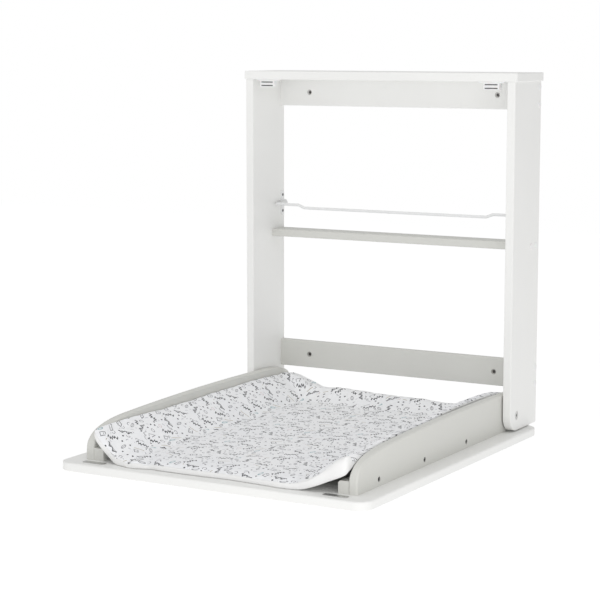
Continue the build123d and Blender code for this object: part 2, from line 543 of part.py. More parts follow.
for side, sign in SIDES:
    rail_x = on_side(sign, RAIL_INNER_X, RAIL_OUTER_X)
    with BuildPart() as side_rail:
        # upright at the front, curving into a long low arc that drops again at the rear
        with BuildSketch(Plane.YZ.offset(rail_x[0])):
            with BuildLine():
                front_foot = (SIDE_RAIL_FRONT_Y, BOARD_TOP)
                knee = (SIDE_RAIL_FRONT_Y, BOARD_TOP + 20.0)
                shoulder = (-640.0, BOARD_TOP + 72.0)
                heel = (-110.0, BOARD_TOP + 79.6)
                rear_knee = (SIDE_RAIL_REAR_Y, BOARD_TOP + 46.0)
                rear_foot = (SIDE_RAIL_REAR_Y, BOARD_TOP)
                Line(front_foot, knee)
                Bezier(knee, (SIDE_RAIL_FRONT_Y, BOARD_TOP + 52.0), (-722.0, BOARD_TOP + 68.2), shoulder)
                TangentArc(shoulder, heel, tangent=(1, 0.046))
                Bezier(heel, (-60.0, BOARD_TOP + 78.7), (SIDE_RAIL_REAR_Y, BOARD_TOP + 74.0), rear_knee)
                Polyline(rear_knee, rear_foot, front_foot)
            make_face()
        extrude(amount=PANEL_THICKNESS)
        rail_middle = (RAIL_INNER_X + RAIL_OUTER_X) / 2
        eased(
            side_rail,
            RAIL_EDGE_RADIUS,
            lambda c: c.Z > BOARD_TOP + 1 and abs(abs(c.X) - rail_middle) > 1,
        )
        rod("X", rail_x, PIVOT, BUSH_RADIUS, Mode.SUBTRACT)
        counterbored_holes((sign, 0, 0), [(sign * RAIL_OUTER_X, *place) for place in SIDE_RAIL_SCREWS])
    save(side_rail, f"{side}_side_rail")

    with BuildPart() as cleat:
        cleat_x = on_side(sign, RAIL_INNER_X - CLEAT_WIDTH, RAIL_INNER_X)
        cleat_y = (SIDE_RAIL_FRONT_Y + 2.0, CLEAT_REAR_Y)
        block(cleat_x, cleat_y, (BOARD_TOP, BOARD_TOP + CLEAT_HEIGHT))
        top_edges = cleat.edges().filter_by(Axis.Y).group_by(Axis.Z)[-1].sort_by(Axis.X)
        fillet(top_edges[0 if sign > 0 else -1], CLEAT_CORNER_RADIUS)
        for place in SIDE_RAIL_SCREWS:
            screw_x = on_side(sign, RAIL_INNER_X - CLEAT_SCREW_DEPTH, RAIL_INNER_X)
            rod("X", screw_x, place, SCREW_RADIUS, Mode.SUBTRACT)
        cleat_top = BOARD_TOP + CLEAT_HEIGHT
        counterbored_holes((0, 0, 1), [(sign * CLEAT_X, y, cleat_top) for y in CLEAT_SCREW_Y])
    save(cleat, f"{side}_cleat")

    with BuildPart() as strike_plate:
        with BuildSketch(Plane.XY.offset(BOARD_TOP)):
            with Locations((sign * CATCH_X, STRIKE_Y)):
                RectangleRounded(STRIKE_LENGTH, STRIKE_WIDTH, STRIKE_CORNER_RADIUS)
        extrude(amount=STRIKE_THICKNESS)
        own_screws = [x for x in strike_screw_x if x * sign > 0]
        strike_top = BOARD_TOP + STRIKE_THICKNESS
        screw_holes((0, 0, 1), [(x, STRIKE_Y, strike_top) for x in own_screws], STRIKE_HEAD_RADIUS)
    save(strike_plate, f"{side}_strike_plate")

board_screw = socket_screw(SCREW_REACH)
with BuildPart() as side_rail_screws:
    for side, sign in SIDES:
        heads = [(sign * (RAIL_OUTER_X - HEAD_DEPTH), *place) for place in SIDE_RAIL_SCREWS]
        screws_at(board_screw, (sign, 0, 0), heads)
save(side_rail_screws, "side_rail_screws")

with BuildPart() as cleat_screws:
    head_z = BOARD_TOP + CLEAT_HEIGHT - HEAD_DEPTH
    heads = [(x, y, head_z) for x in (-CLEAT_X, CLEAT_X) for y in CLEAT_SCREW_Y]
    screws_at(board_screw, (0, 0, 1), heads)
save(cleat_screws, "cleat_screws")

strike_screw = countersunk_screw(STRIKE_SCREW_LENGTH, STRIKE_HEAD_RADIUS)
with BuildPart() as strike_plate_screws:
    heads = [(x, STRIKE_Y, BOARD_TOP + STRIKE_THICKNESS) for x in strike_screw_x]
    screws_at(strike_screw, (0, 0, 1), heads)
save(strike_plate_screws, "strike_plate_screws")

# ---- mat -------------------------------------------------------------------------------------

MAT_BEND_RADIUS = 40.0  # where the flat turns up into the raised sides
MAT_LIP_RADIUS = 5.0
MAT_WEDGE_WIDTH = 16.0  # flat top of the rise at the wall end
MAT_LEAN_X = MAT_FLAT_HALF_WIDTH - 9.0
MAT_LIP_X = MAT_SIDE_X - 11.0
MAT_NOTCH_X = (220.0, 247.0)


def both_halves(half, lift=0.0):
    """The corners of an outline, from its right half and that half's mirror image."""
    right = [(x, y + lift) for x, y in half]
    left = [(-x, y) for x, y in reversed(right)]
    return right + left


with BuildPart() as mat_hollow:
    # room above the flat, between the raised sides
    with BuildSketch(Plane.XZ.offset(-MAT_REAR_Y)) as hollow_section:
        hollow_top = MAT_SIDE_HEIGHT + 5.0
        half = [(MAT_LEAN_X, MAT_THICKNESS), (MAT_LIP_X, MAT_SIDE_HEIGHT), (MAT_LIP_X, hollow_top)]
        with BuildLine():
            Polyline(*both_halves(half, BOARD_TOP), close=True)
        make_face()
        fillet(hollow_section.vertices().group_by(Axis.Y)[0], MAT_BEND_RADIUS)
    extrude(amount=MAT_REAR_Y - MAT_FRONT_Y)
    # seen from the side, it ends in a slope that rises towards the wall
    with BuildSketch(Plane.YZ) as side_profile:
        with BuildLine():
            profile = [
                (MAT_FRONT_Y, MAT_THICKNESS),
                (MAT_BACK_FOOT_Y, MAT_THICKNESS),
                (MAT_REAR_Y - MAT_WEDGE_WIDTH, MAT_BACK_HEIGHT),
                (MAT_REAR_Y, MAT_BACK_HEIGHT),
                (MAT_REAR_Y, hollow_top),
                (MAT_FRONT_Y, hollow_top),
            ]
            Polyline(*[(y, BOARD_TOP + z) for y, z in profile], close=True)
        make_face()
    extrude(amount=MAT_SIDE_X, both=True, mode=Mode.INTERSECT)

with BuildPart() as changing_mat:
    # the whole trough: its raised sides lean out over the cleats
    with BuildSketch(Plane.XZ.offset(-MAT_REAR_Y)) as section:
        half = [
            (MAT_FLAT_HALF_WIDTH, 0),
            (MAT_SIDE_X, MAT_SIDE_HEIGHT - 16.0),
            (MAT_SIDE_X, MAT_SIDE_HEIGHT),
        ]
        with BuildLine():
            Polyline(*both_halves(half, BOARD_TOP), close=True)
        make_face()
        fillet(section.vertices().group_by(Axis.Y)[0], MAT_BEND_RADIUS)
        fillet(section.vertices().group_by(Axis.Y)[-1], MAT_LIP_RADIUS)
    extrude(amount=MAT_REAR_Y - MAT_FRONT_Y)
    # seen from above, the front corners are set back so that they pass the catches
    with BuildSketch(Plane.XY.offset(BOARD_TOP)):
        notch_y = MAT_FRONT_Y + MAT_FRONT_NOTCH
        half = [
            (MAT_NOTCH_X[0], MAT_FRONT_Y),
            (MAT_NOTCH_X[1], notch_y),
            (MAT_SIDE_X, notch_y),
            (MAT_SIDE_X, MAT_REAR_Y),
        ]
        with BuildLine():
            Polyline(*both_halves(half), close=True)
        make_face()
    extrude(amount=MAT_SIDE_HEIGHT, mode=Mode.INTERSECT)
    add(mat_hollow.part, mode=Mode.SUBTRACT)
save(changing_mat, "changing_mat")
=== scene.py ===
"""Changing table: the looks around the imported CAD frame. Lengths are in metres, the mat's own in mm."""
import json
import math

import bpy
import numpy as np
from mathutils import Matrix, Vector, noise


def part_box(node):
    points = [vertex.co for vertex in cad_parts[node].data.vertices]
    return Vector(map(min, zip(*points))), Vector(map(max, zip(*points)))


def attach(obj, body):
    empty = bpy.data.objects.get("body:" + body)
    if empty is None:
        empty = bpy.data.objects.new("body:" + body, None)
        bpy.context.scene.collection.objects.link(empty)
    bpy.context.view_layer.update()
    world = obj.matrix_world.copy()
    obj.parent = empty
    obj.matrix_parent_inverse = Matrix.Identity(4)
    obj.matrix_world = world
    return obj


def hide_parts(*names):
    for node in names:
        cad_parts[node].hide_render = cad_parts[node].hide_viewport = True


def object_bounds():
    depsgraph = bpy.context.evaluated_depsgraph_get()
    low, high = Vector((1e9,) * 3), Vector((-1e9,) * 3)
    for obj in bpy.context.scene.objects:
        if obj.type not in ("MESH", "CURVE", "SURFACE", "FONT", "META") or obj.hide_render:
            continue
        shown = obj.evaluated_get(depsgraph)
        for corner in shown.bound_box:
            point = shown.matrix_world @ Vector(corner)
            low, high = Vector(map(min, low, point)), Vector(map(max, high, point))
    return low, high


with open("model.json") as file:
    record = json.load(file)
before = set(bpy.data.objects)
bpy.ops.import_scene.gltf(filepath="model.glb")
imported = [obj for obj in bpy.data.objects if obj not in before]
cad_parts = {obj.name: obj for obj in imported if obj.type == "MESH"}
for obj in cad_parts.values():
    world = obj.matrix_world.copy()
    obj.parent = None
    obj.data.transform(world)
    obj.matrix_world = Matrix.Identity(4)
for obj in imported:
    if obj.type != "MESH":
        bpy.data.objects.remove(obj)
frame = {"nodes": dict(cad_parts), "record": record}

CAD_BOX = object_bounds()
MM = 0.001

BOARD_TOP_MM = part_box("changing_board")[1].z / MM
MAT_LOW, MAT_HIGH = (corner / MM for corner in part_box("changing_mat"))
MOUNTS = {mount["name"]: mount["dims"] for mount in frame["record"]["mounts"]}
WALL_FIXINGS = MOUNTS["wall_fixings"]

# ---------------------------------------------------------------- mat: size and shape, in mm
MAT_THICKNESS = 14.0
LEAST_THICKNESS = 6.0
SIDE_X = MAT_HIGH.x - 0.2  # the raised sides end here, just inside the side rails
FRONT_Y = MAT_LOW.y + 2.5
FRONT_CORNER_Y = MAT_LOW.y + 11.0  # the corners stay back, to pass the catches
FRONT_CORNER_X = (212.0, 246.0)  # between these the front edge steps back
REAR_Y = MAT_HIGH.y - 1.0
REAR_FOOT_Y = -114.0
REAR_CREST_Y = -58.0
CORNER_RADIUS = 13.0
END_ROUNDING = 8.0
SIDE_ROUNDING = 5.5
UNDER_END_ROUNDING = 3.0
UNDER_SIDE_ROUNDING = 3.5
CELL = 7.2
RIM_STEPS = (0.0, 0.7, 1.8, 3.4, 5.6, 9.0)  # distances of the closely spaced rows from each edge
RIM_MIDDLE = 0.34  # height of the widest point of the edge, as a share of the thickness
# Bends of the front edge: X, how far back towards the wall, and half-width along X.
FRONT_BENDS = ((30, 4.0, 45), (-178, -9.0, 24), (-139, 4.0, 9), (150, -5.0, 34))

# Height of each raised side's underside at the side rail, above the board, at places along Y. The right
# side swells over its rail, but less where the shelf and the wire come when the board is folded up.
SIDE_LIFTS = {
    -1: (
        (-775, 54), (-755, 57), (-700, 58), (-636, 58), (-501, 56), (-363, 58), (-200, 60),
        (-117, 60), (-30, 55),
    ),
    1: (
        (-775, 38), (-755, 46), (-715, 59), (-636, 68), (-560, 73), (-425, 74), (-380, 80),
        (-320, 83), (-200, 83), (-158, 81), (-116, 76), (-86, 70), (-30, 60),
    ),
}
# Where each side leaves the board, and how hollow its slope is (1 is straight), at places along Y.
SIDE_FEET = {
    -1: ((-775, 200), (-700, 196), (-150, 192), (-30, 186)),
    1: ((-775, 174), (-700, 180), (-150, 186), (-30, 180)),
}
SIDE_HOLLOWS = {
    -1: ((-775, 1.95), (-710, 1.5), (-560, 1.15), (-30, 1.1)),
    1: ((-775, 1.12), (-600, 1.12), (-30, 1.1)),
}
# Height of the rise at the wall end, across X.
REAR_TOPS = (
    (-281, 74), (-261, 74), (-244, 70), (-225, 64), (-209, 58), (-183, 48), (-165, 46),
    (-130, 47), (-60, 45), (85, 42), (128, 39), (281, 44),
)
REAR_PADDING = 1.2 * MAT_THICKNESS  # how much of that height is padding
REAR_HOLLOW = 1.15
# The rear corners: where the padding swells up from the rise to the sides, to just below their height.
CORNER_SWELL_X = {-1: (262.0, 300.0), 1: (150.0, 270.0)}
CORNER_SWELL_Y = (REAR_FOOT_Y - 12.0, REAR_CREST_Y)
CORNER_DROP = 2.0
# How softly the sides, the rear corners and the rise run into the flat.
SIDE_BLEND, CORNER_BLEND, REAR_BLEND = 5.0, 7.0, 9.0
# Raised sides are fuller than the flat: extra thickness half-way up, at places along Y.
SIDE_FILLING = {
    -1: ((-781, 3.5), (-650, 2.0), (-30, 1.0)),
    1: ((-781, 6.0), (-690, 6.0), (-560, 2.5), (-30, 1.0)),
}
SIDE_FILLING_X = (170.0, 215.0)  # between these it sets in
FILLING_TAPER, FILLING_TAPER_X = 0.6, (240.0, 281.0)  # and here it loses this share again
# The front corners may have more, by the rail.
FRONT_CORNER_FILLING = {-1: 0.0, 1: 19.0}
CORNER_FILLING_X, CORNER_FILLING_Y = (214.0, 278.0), (-708.0, -768.0)
SIDE_THINNING = 0.33  # how much thinner the padding is where it meets the side rail
SIDE_THINNING_X = (232.0, SIDE_X)
STEEPEST = 0.9  # a slope's square counts up to this in the padding's upright thickness
# Valleys pressed into the cover: start, end, depth and width.
CREASES = (
    ((-188, -122), (-206, -60), 8.0, 6.0),
    ((196, -118), (178, -36), 4.5, 6.5),
    ((-188, -790), (-180, -640), 6.5, 7.5),
    ((-182, -640), (-186, -330), 3.6, 7.5),
    ((-186, -330), (-198, -116), 4.2, 7.0),
    ((-141, -792), (-166, -738), 6.0, 5.5),
    ((172, -770), (180, -420), 2.2, 10.0),
    ((180, -420), (190, -118), 3.0, 8.0),
    ((-190, -116), (190, -118), 3.4, 7.0),
)
# Unevenness of the padding: wavelengths along X and Y, a seed, and the height.
BROAD_RIPPLES = (95, 95, 3.1, 1.3)
FINE_RIPPLES = (34, 30, 7.7, 0.6)
PUCKERS = (60, 21, 11.3, 2.3)
# The puckers lie across the folds: the ones at the sides, and the one at the foot of the rise.
SIDE_FOLD_X, SIDE_FOLD_WIDTH = 203, 26
REAR_FOLD_SHARE, REAR_FOLD_WIDTH = 0.8, 18
UNDER_SHARE, UNDER_SHIFT_X = 0.4, 400  # the underside has fainter ripples, from another place
UNDER_RAISED = (2.0, 9.0)  # and only where it stands off the board
REST_GAP = 0.25  # height of the flat's underside above the board
# The plain band: how far the print stays from the widest point of the edge, along the cover. At the
# sides it runs past that point.
FRONT_BAND, REAR_BAND, SIDE_BAND = 5.5, 6.0, -3.0
# It is wider by this much in the right front corner.
CORNER_BAND, CORNER_BAND_X, CORNER_BAND_Y = 12.0, (150.0, 235.0), (-640.0, -760.0)
HELD_BELOW = 0.75  # in the simulation the edge stays put where its rounding leaves less than this share

# ---------------------------------------------------------------- small helpers


def eased(low, high, value):
    """0 below low, 1 above high, and a smooth rise between."""
    t = np.clip((value - low) / (high - low), 0.0, 1.0)
    return t * t * (3 - 2 * t)


def along(knots, value):
    """The knots' height at a place, with straight lines between them."""
    places, heights = zip(*knots)
    return np.interp(value, places, heights)


def soft_max(a, b, width):
    """The larger of two heights, with a smooth bend where they cross."""
    spread = np.maximum(width - np.abs(a - b), 0.0) / width
    return np.maximum(a, b) + spread * spread * width / 4


class Value:
    """A number inside a material; ordinary arithmetic on it adds the nodes."""

    def __init__(self, tree, source):
        self.tree, self.source = tree, source

    def apply(self, operation, *others):
        node = self.tree.nodes.new("ShaderNodeMath")
        node.operation = operation
        for socket, item in zip(node.inputs, (self, *others)):
            if isinstance(item, Value):
                self.tree.links.new(item.source, socket)
            else:
                socket.default_value = item
        return Value(self.tree, node.outputs[0])

    def __add__(self, other):
        return self.apply("ADD", other)

    def __sub__(self, other):
        return self.apply("SUBTRACT", other)

    def __mul__(self, other):
        return self.apply("MULTIPLY", other)

    def __truediv__(self, other):
        return self.apply("DIVIDE", other)

    def __abs__(self):
        return self.apply("ABSOLUTE")

    def floor(self):
        return self.apply("FLOOR")

    def wrapped(self, period):
        return self.apply("WRAP", period, 0.0)

    def larger(self, other):
        return self.apply("MAXIMUM", other)

    def smaller(self, other):
        return self.apply("MINIMUM", other)

    def below(self, limit):
        return self.apply("LESS_THAN", limit)

    def eased(self, low, high, start=0.0, end=1.0):
        node = self.tree.nodes.new("ShaderNodeMapRange")
        node.interpolation_type = "SMOOTHSTEP"
        self.tree.links.new(self.source, node.inputs["Value"])
        for name, number in (("From Min", low), ("From Max", high), ("To Min", start), ("To Max", end)):
            node.inputs[name].default_value = number
        return Value(self.tree, node.outputs["Result"])


def length_of(x, y):
    return (x * x + y * y).apply("SQRT")


class Surface:
    """One procedural material, built up node by node."""

    def __init__(self, name, **settings):
        self.material = bpy.data.materials.new(name)
        self.material.use_nodes = True
        self.tree = self.material.node_tree
        self.shader = self.tree.nodes["Principled BSDF"]
        for socket, number in settings.items():
            self.shader.inputs[socket.replace("_", " ")].default_value = number

    def add(self, kind, **inputs):
        node = self.tree.nodes.new(kind)
        for name, item in inputs.items():
            self.feed(item, node.inputs[name.replace("_", " ")])
        return node

    def feed(self, item, socket):
        if isinstance(item, Value):
            self.tree.links.new(item.source, socket)
        elif isinstance(item, bpy.types.NodeSocket):
            self.tree.links.new(item, socket)
        elif isinstance(item, tuple) and len(item) == 3 and socket.type == "RGBA":
            socket.default_value = (*item, 1.0)
        else:
            socket.default_value = item

    def place(self):
        return self.add("ShaderNodeTexCoord").outputs["Object"]

    def stretched(self, scale):
        node = self.add("ShaderNodeMapping", Vector=self.place())
        node.inputs["Scale"].default_value = scale
        return node.outputs["Vector"]

    def noise(self, scale, detail=3.0, roughness=0.5, place=None):
        node = self.add(
            "ShaderNodeTexNoise",
            Vector=place or self.place(),
            Scale=scale,
            Detail=detail,
            Roughness=roughness,
        )
        return Value(self.tree, node.outputs["Fac"])

    def mix(self, factor, first, second):
        node = self.tree.nodes.new("ShaderNodeMix")
        node.data_type = "RGBA"
        self.feed(factor, node.inputs["Factor"])
        for socket, item in zip([s for s in node.inputs if s.type == "RGBA"], (first, second)):
            self.feed(item, socket)
        return [s for s in node.outputs if s.type == "RGBA"][0]

    def colour(self, item):
        self.feed(item, self.shader.inputs["Base Color"])

    def rough(self, item):
        self.feed(item, self.shader.inputs["Roughness"])

    def bump(self, *layers):
        """Each layer is (height, distance in metres); later layers ride on earlier ones."""
        normal = None
        for height, distance in layers:
            node = self.add("ShaderNodeBump", Height=height, Strength=1.0, Distance=distance)
            if normal is not None:
                self.feed(normal, node.inputs["Normal"])
            normal = node.outputs["Normal"]
        self.feed(normal, self.shader.inputs["Normal"])


def shades(colour, spread):
    return tuple(c * (1 - spread) for c in colour), tuple(min(1.0, c * (1 + spread)) for c in colour)


# ---------------------------------------------------------------- materials

COUNTERSINK_R_MM = 5.9  # just inside the countersink's edge, so that the face around it keeps its lacquer colour
# On the countersinks the bare colour is painted shade, laid on at this share.
COUNTERSINK_PAINTED_SHADE = 0.45
COUNTERSINK_REAR_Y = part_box("lower_back_rail")[0].y + 3.0 * MM
HOLE_MARGIN_MM = 0.1


def bare_core_and_painted_shade(surface):
    """Bare fibreboard, darkened as painted shade: 1 in the wall-fixing holes, less on their countersinks,
    else 0.
    """
    parts = surface.add("ShaderNodeSeparateXYZ", Vector=surface.place())
    x, y, z = (Value(surface.tree, parts.outputs[i]) for i in range(3))
    across = abs(x) - WALL_FIXINGS["spacing_x_mm"] / 2 * MM
    up = abs(z) - WALL_FIXINGS["spacing_y_mm"] / 2 * MM
    away = length_of(across, up)
    # The holes show bare fibreboard darkened as painted shade; on the countersinks the tint is painted
    # shade.
    hole = away.below((WALL_FIXINGS["hole_r_mm"] + HOLE_MARGIN_MM) * MM)
    countersink = away.below(COUNTERSINK_R_MM * MM) * y.below(COUNTERSINK_REAR_Y)
    return hole.larger(countersink * COUNTERSINK_PAINTED_SHADE)


def lacquer(name, colour, roughness, bare_and_shaded):
    """Sprayed lacquer on fibreboard: orange peel, dust nibs, a cloudy sheen and a trace of handling."""
    surface = Surface(name, Specular_IOR_Level=0.42)
    cloud = surface.noise(3.2, 4.0, 0.55)
    mottle = surface.noise(38.0, 3.0, 0.6)
    dark, light = shades(colour, 0.014)
    tone = surface.mix(cloud.eased(0.3, 0.7), dark, light)
    rubbed = tuple(c * 0.965 for c in colour)
    sprayed = surface.mix(mottle.eased(0.62, 0.82, 0.0, 0.5), tone, rubbed)
    # The holes and countersinks take the bare colour, darkened as painted shade.
    surface.colour(surface.mix(bare_core_and_painted_shade(surface), sprayed, bare_and_shaded))
    surface.rough(cloud.eased(0.25, 0.75, roughness - 0.04, roughness + 0.05))
    peel = surface.noise(520.0, 2.0, 0.45)
    ripple = surface.noise(60.0, 2.0, 0.5)
    nibs = surface.noise(1700.0, 1.0, 0.4).eased(0.72, 0.8)
    surface.bump((ripple, 0.00006), (peel, 0.00003), (nibs, 0.00002))
    return surface.material


def powder_coat(name, colour):
    surface = Surface(name, Specular_IOR_Level=0.5)
    dark, light = shades(colour, 0.02)
    surface.colour(surface.mix(surface.noise(45.0).eased(0.3, 0.7), dark, light))
    surface.rough(surface.noise(120.0).eased(0.3, 0.7, 0.34, 0.46))
    surface.bump((surface.noise(1400.0, 2.0, 0.6), 0.00005))
    return surface.material


def plated_steel(name, colour, roughness, grain):
    """Bright plating: fine turning marks and a few cloudy spots, darker and lighter at random."""
    surface = Surface(name, Metallic=1.0)
    dark, light = shades(colour, 0.1)
    cloud = surface.noise(160.0, 4.0, 0.6)
    surface.colour(surface.mix(cloud.eased(0.35, 0.68), dark, light))
    marks = surface.noise(900.0, 2.0, 0.5, surface.stretched(grain))
    surface.rough(marks.eased(0.3, 0.7, roughness - 0.07, roughness + 0.09))
    surface.bump((marks, 0.00003))
    return surface.material


def moulded_plastic(name, colour, roughness):
    surface = Surface(name, Specular_IOR_Level=0.45)
    surface.shader.inputs["Subsurface Weight"].default_value = 0.04
    surface.shader.inputs["Subsurface Scale"].default_value = 0.002
    dark, light = shades(colour, 0.018)
    surface.colour(surface.mix(surface.noise(70.0).eased(0.3, 0.7), dark, light))
    surface.rough(surface.noise(240.0).eased(0.3, 0.7, roughness - 0.05, roughness + 0.06))
    surface.bump((surface.noise(2300.0, 2.0, 0.6), 0.00003))
    return surface.material


def ferrite(name):
    surface = Surface(name, Specular_IOR_Level=0.4)
    grain = surface.noise(900.0, 4.0, 0.7)
    surface.colour(surface.mix(grain.eased(0.35, 0.7), (0.028, 0.028, 0.032), (0.07, 0.07, 0.075)))
    surface.rough(surface.noise(500.0).eased(0.3, 0.7, 0.5, 0.72))
    surface.bump((surface.noise(2600.0, 3.0, 0.7), 0.00008))
    return surface.material


def beech(name):
    surface = Surface(name, Specular_IOR_Level=0.35)
    grain = surface.noise(260.0, 5.0, 0.65, surface.stretched((0.06, 1.0, 1.0)))
    surface.colour(surface.mix(grain.eased(0.3, 0.72), (0.42, 0.27, 0.145), (0.62, 0.45, 0.27)))
    surface.rough(grain.eased(0.3, 0.7, 0.52, 0.68))
    surface.bump((grain, 0.00012))
    return surface.material


def felt(name):
    surface = Surface(name, Specular_IOR_Level=0.2, Sheen_Weight=0.35, Sheen_Roughness=0.5)
    fibres = surface.noise(1500.0, 5.0, 0.75)
    surface.colour(surface.mix(fibres.eased(0.35, 0.7), (0.50, 0.50, 0.47), (0.72, 0.72, 0.69)))
    surface.rough(fibres.eased(0.3, 0.7, 0.82, 0.97))
    surface.bump((fibres, 0.00025))
    return surface.material


# The printed cover. Each layer of small drawings repeats on its own grid of cells.
PRINT_REPEAT_MM = 195.0
INK_DARK = (0.015, 0.016, 0.024)
INK_GREY = (0.05, 0.052, 0.066)
INK_PALE = (0.16, 0.17, 0.21)
INK_SAND = (0.30, 0.235, 0.10)
INK_TEAL = (0.045, 0.25, 0.28)
INK_ROSE = (0.42, 0.20, 0.20)


def draw_dot(x, y):
    return length_of(x, y) - 2.0


def draw_three_dots(x, y):
    spots = [length_of(x - a, y - b) for a, b in ((-8.0, 2.5), (0.5, -4.5), (8.0, 4.0))]
    return spots[0].smaller(spots[1]).smaller(spots[2]) - 2.1


def draw_ring(x, y):
    return abs(length_of(x, y * 1.3) - 4.5) - 0.8


def draw_tag(x, y):
    outline = abs((abs(x) - 6.4).larger(abs(y) - 4.2)) - 0.8
    bar = (abs(x - 1.6) - 0.55).larger(abs(y) - 2.0)
    return outline.smaller(bar)


def draw_curl(x, y):
    """A wandering line of uneven loops."""
    swing = (x * 1.05).apply("SINE") * 2.4 + (x * 0.37).apply("SINE") * 2.0
    return (abs(y - swing) - 2.3).larger(abs(x) - 14.0)


def draw_peaks(x, y):
    """A row of hills with hatching below the ridge."""
    ridge = x.apply("PINGPONG", 6.5) * 1.1 - 3.0
    line = abs(y - ridge) - 1.4
    hatch = (y - ridge).larger((x * 2.1).apply("SINE") * 0.9).larger(y * -1.0 - 3.4)
    return line.smaller(hatch).larger(abs(x) - 15.0)


def draw_stick(x, y):
    return (abs(y) - 0.75).larger(abs(x) - 11.0)


def draw_dash(x, y):
    return (abs(y + x * x * 0.09) - 0.65).larger(abs(x) - 3.6)


def draw_leaf(x, y):
    outline = abs(length_of(x * 0.55, y * 1.3) - 3.8) - 0.75
    vein = (abs(y) - 0.5).larger(abs(x) - 5.6)
    return outline.smaller(vein)


def draw_house(x, y):
    return abs((abs(x) + y).larger(y * -1.0) - 5.2) - 0.85


# Each layer: drawing, cells in one repeat, share of the cells used, wander in mm, half-length and
# half-height that it clears, ink, strength. Later layers lie over earlier ones.
PRINT_LAYERS = (
    (draw_dash, 11, 0.64, 8.0, (0.1, 0.1), INK_PALE, 0.80),
    (draw_dot, 8, 0.45, 16.0, (6.0, 6.0), INK_DARK, 0.95),
    (draw_ring, 6, 0.58, 16.0, (9.0, 8.0), INK_GREY, 0.75),
    (draw_leaf, 5, 0.40, 20.0, (11.0, 8.0), INK_GREY, 0.70),
    (draw_tag, 5, 0.55, 16.0, (11.0, 9.0), INK_GREY, 0.90),
    (draw_house, 4, 0.45, 20.0, (11.0, 11.0), INK_GREY, 0.80),
    (draw_stick, 3, 0.75, 34.0, (15.0, 6.0), INK_SAND, 0.90),
    (draw_ring, 2, 0.45, 60.0, (9.0, 8.0), INK_ROSE, 0.50),
    (draw_leaf, 2, 0.25, 60.0, (11.0, 8.0), INK_TEAL, 0.70),
    (draw_three_dots, 4, 0.60, 22.0, (15.0, 11.0), INK_DARK, 1.0),
    (draw_curl, 4, 0.66, 14.0, (19.0, 10.0), INK_DARK, 0.96),
    (draw_peaks, 3, 0.74, 24.0, (20.0, 10.0), INK_DARK, 0.96),
)


def printed_layer(surface, across, up, seed, drawing, cells, share, wander, clears):
    """Where one layer has ink and where it clears what is below: a drawing to a cell, set at random."""
    size = PRINT_REPEAT_MM / cells
    grid_x, grid_y = (across / size + seed * 0.37), (up / size + seed * 0.61)
    cell_x, cell_y = grid_x.floor(), grid_y.floor()
    repeat_x, repeat_y = cell_x.wrapped(float(cells)), cell_y.wrapped(float(cells))
    label = surface.add("ShaderNodeCombineXYZ", X=repeat_x, Y=repeat_y, Z=float(seed))
    dice = surface.add("ShaderNodeTexWhiteNoise", Vector=label.outputs["Vector"])
    split = surface.add("ShaderNodeSeparateColor", Color=dice.outputs["Color"])
    move_x, move_y, turn = (Value(surface.tree, split.outputs[i]) for i in range(3))
    x = (grid_x - cell_x - 0.5) * size - (move_x - 0.5) * wander
    y = (grid_y - cell_y - 0.5) * size - (move_y - 0.5) * wander
    angle = turn * math.tau
    cos, sin = angle.apply("COSINE"), angle.apply("SINE")
    turned_x, turned_y = x * cos + y * sin, y * cos - x * sin
    used = Value(surface.tree, dice.outputs["Value"]).below(share)
    ink = drawing(turned_x, turned_y).eased(-0.25, 0.25, 1.0, 0.0) * used
    blank = length_of(turned_x / clears[0], turned_y / clears[1]).below(1.0) * used
    return ink, blank


def printed_cover(name):
    """Wipe-clean woven cover, white with a fine grey print. The edge band and underside are plain and a
    little darker, as painted shade.
    """
    surface = Surface(name, Specular_IOR_Level=0.35, Sheen_Weight=0.12, Sheen_Roughness=0.4)
    flat = surface.add("ShaderNodeUVMap")
    flat.uv_map = "cover"
    parts = surface.add("ShaderNodeSeparateXYZ", Vector=flat.outputs["UV"])
    across, up = (Value(surface.tree, parts.outputs[i]) * 1000.0 for i in range(2))
    attribute = surface.add("ShaderNodeAttribute")
    attribute.attribute_name = "cover_edge"
    edge = Value(surface.tree, attribute.outputs["Fac"])
    printed = edge.eased(-0.3, 0.3)

    cloud = surface.noise(9.0, 3.0, 0.5)
    ground = surface.mix(cloud.eased(0.3, 0.7), (0.93, 0.938, 0.96), (0.955, 0.96, 0.975))
    tone = ground
    for seed, (*layer, ink, strength) in enumerate(PRINT_LAYERS, 1):
        amount, blank = printed_layer(surface, across, up, seed, *layer)
        tone = surface.mix(blank, tone, ground)
        tone = surface.mix(amount * strength, tone, ink)
    # The plain band is unprinted cover, set darker than the ground as painted shade on the edges and
    # underside.
    shaded_band = surface.mix(cloud.eased(0.3, 0.7), (0.905, 0.905, 0.90), (0.93, 0.93, 0.925))
    surface.colour(surface.mix(printed, shaded_band, tone))
    surface.rough(surface.noise(300.0, 3.0, 0.6).eased(0.3, 0.7, 0.46, 0.6))

    thread = math.tau / 0.9  # threads 0.9 mm apart
    weave = (across * thread).apply("SINE") * (up * thread).apply("SINE")
    seam = abs(edge).eased(0.0, 0.9, 1.0, 0.0)
    creep = surface.noise(70.0, 4.0, 0.6)
    surface.bump((creep, 0.0005), (seam, 0.0004), (weave, 0.00004))
    return surface.material


FLOOR_GLOW = 0.52  # lifts the floor to the photograph's white


def floor_finish(name):
    surface = Surface(name, Specular_IOR_Level=0.2)
    cloud = surface.noise(1.5, 3.0)
    surface.colour(surface.mix(cloud.eased(0.3, 0.7), (0.79, 0.79, 0.79), (0.82, 0.82, 0.82)))
    surface.rough(surface.noise(60.0).eased(0.3, 0.7, 0.7, 0.85))
    surface.bump((surface.noise(220.0), 0.0002))
    surface.shader.inputs["Emission Color"].default_value = (1, 1, 1, 1)
    surface.shader.inputs["Emission Strength"].default_value = FLOOR_GLOW
    return surface.material


